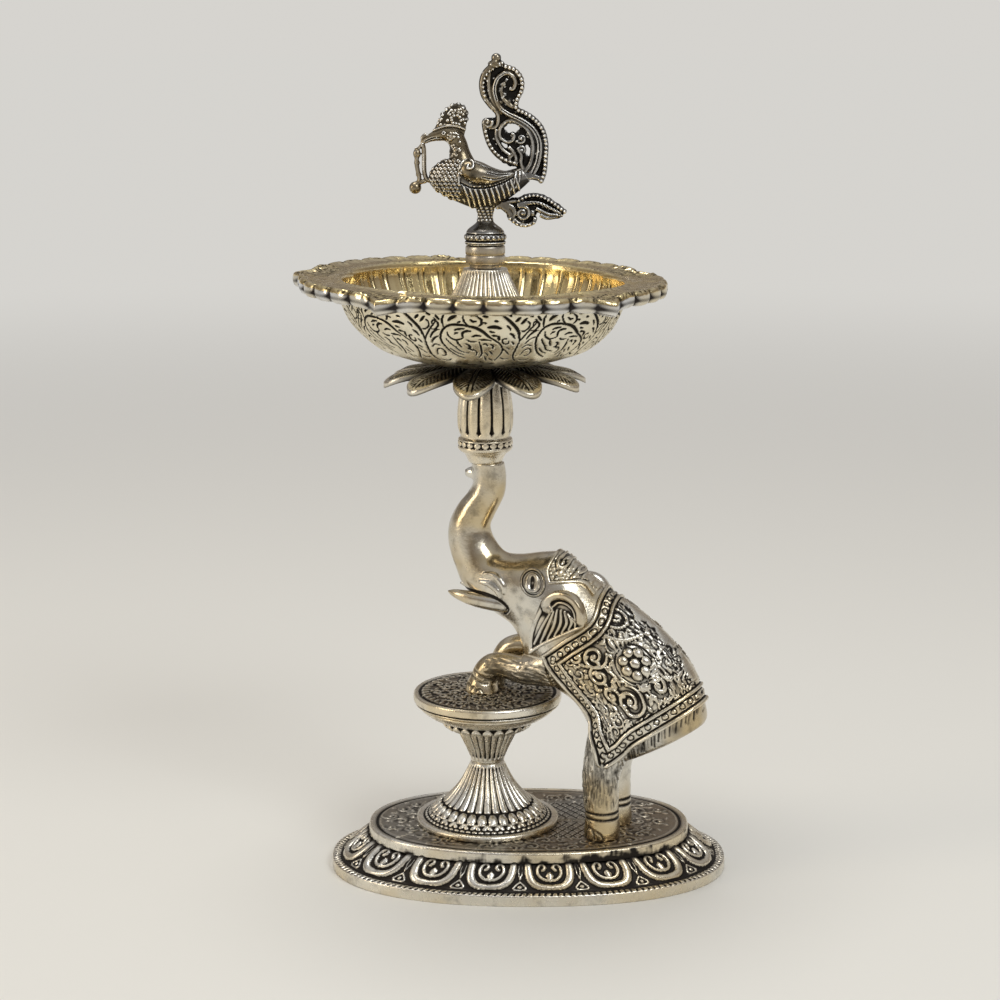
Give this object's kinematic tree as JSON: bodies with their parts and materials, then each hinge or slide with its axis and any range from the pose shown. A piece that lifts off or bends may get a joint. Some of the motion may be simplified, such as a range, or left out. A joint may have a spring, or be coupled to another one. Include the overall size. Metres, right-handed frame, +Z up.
{
  "type": "elephant oil lamp",
  "caption": "Table oil lamp: an elephant stands with its front feet on a round pedestal and holds a lobed wick bowl on its raised trunk, under a peacock finial.",
  "frame": {"origin": "centre of the lamp's box, on the surface it stands on", "axes": "+Z up; -X is the way the elephant and the peacock face; +Y points to the far side of the picture's view"},
  "size_m": [0.118, 0.1018, 0.2241],
  "materials": {
    "silver_plate": "antique silver plate over cast metal, black oxide left in the recesses",
    "oxidised_plate": "silver plate oxidised dark, rubbed bright on the high places",
    "golden_plate": "pale golden plating with black filled engraving",
    "fastener_steel": "plain steel fasteners",
    "seal_rubber": "matt black"
  },
  "bodies": {
    "root": {"base_skirt": "silver_plate", "base_deck": "oxidised_plate", "stool_foot": "silver_plate", "stool_cup": "silver_plate", "stool_top": "oxidised_plate", "stool_rod": "fastener_steel", "stool_rod_washer": "fastener_steel", "stool_rod_nut": "fastener_steel", "elephant_body": "silver_plate", "elephant_screw_near": "fastener_steel", "elephant_screw_far": "fastener_steel", "elephant_washer_near": "fastener_steel", "elephant_washer_far": "fastener_steel", "stem_cup": "silver_plate", "bowl_stud": "fastener_steel"},
    "petals": {"petal_collar": "oxidised_plate"},
    "oil_bowl": {"bowl": "golden_plate", "bowl_seal": "seal_rubber", "bowl_cone": "golden_plate"},
    "nut": {"collar_nut": "oxidised_plate"},
    "finial": {"peacock_body": "oxidised_plate", "peacock_tail": "oxidised_plate", "peacock_train": "oxidised_plate", "peacock_garland": "oxidised_plate"}
  },
  "joints": [
    {"name": "petal_turn", "type": "hinge", "parent": "root", "child": "petals", "pos_m": [-0.00812, -0.0011, 0.139], "axis": [0, 0, 1], "continuous": true},
    {"name": "bowl_turn", "type": "hinge", "parent": "root", "child": "oil_bowl", "pos_m": [-0.00812, -0.0011, 0.15], "axis": [0, 0, 1], "continuous": true},
    {"name": "nut_turn", "type": "hinge", "parent": "root", "child": "nut", "pos_m": [-0.00812, -0.0011, 0.17], "axis": [0, 0, 1], "continuous": true},
    {"name": "peacock_lift", "type": "slide", "parent": "nut", "child": "finial", "axis": [0, 0, 1], "range_m": [0, 0.012]}
  ]
}
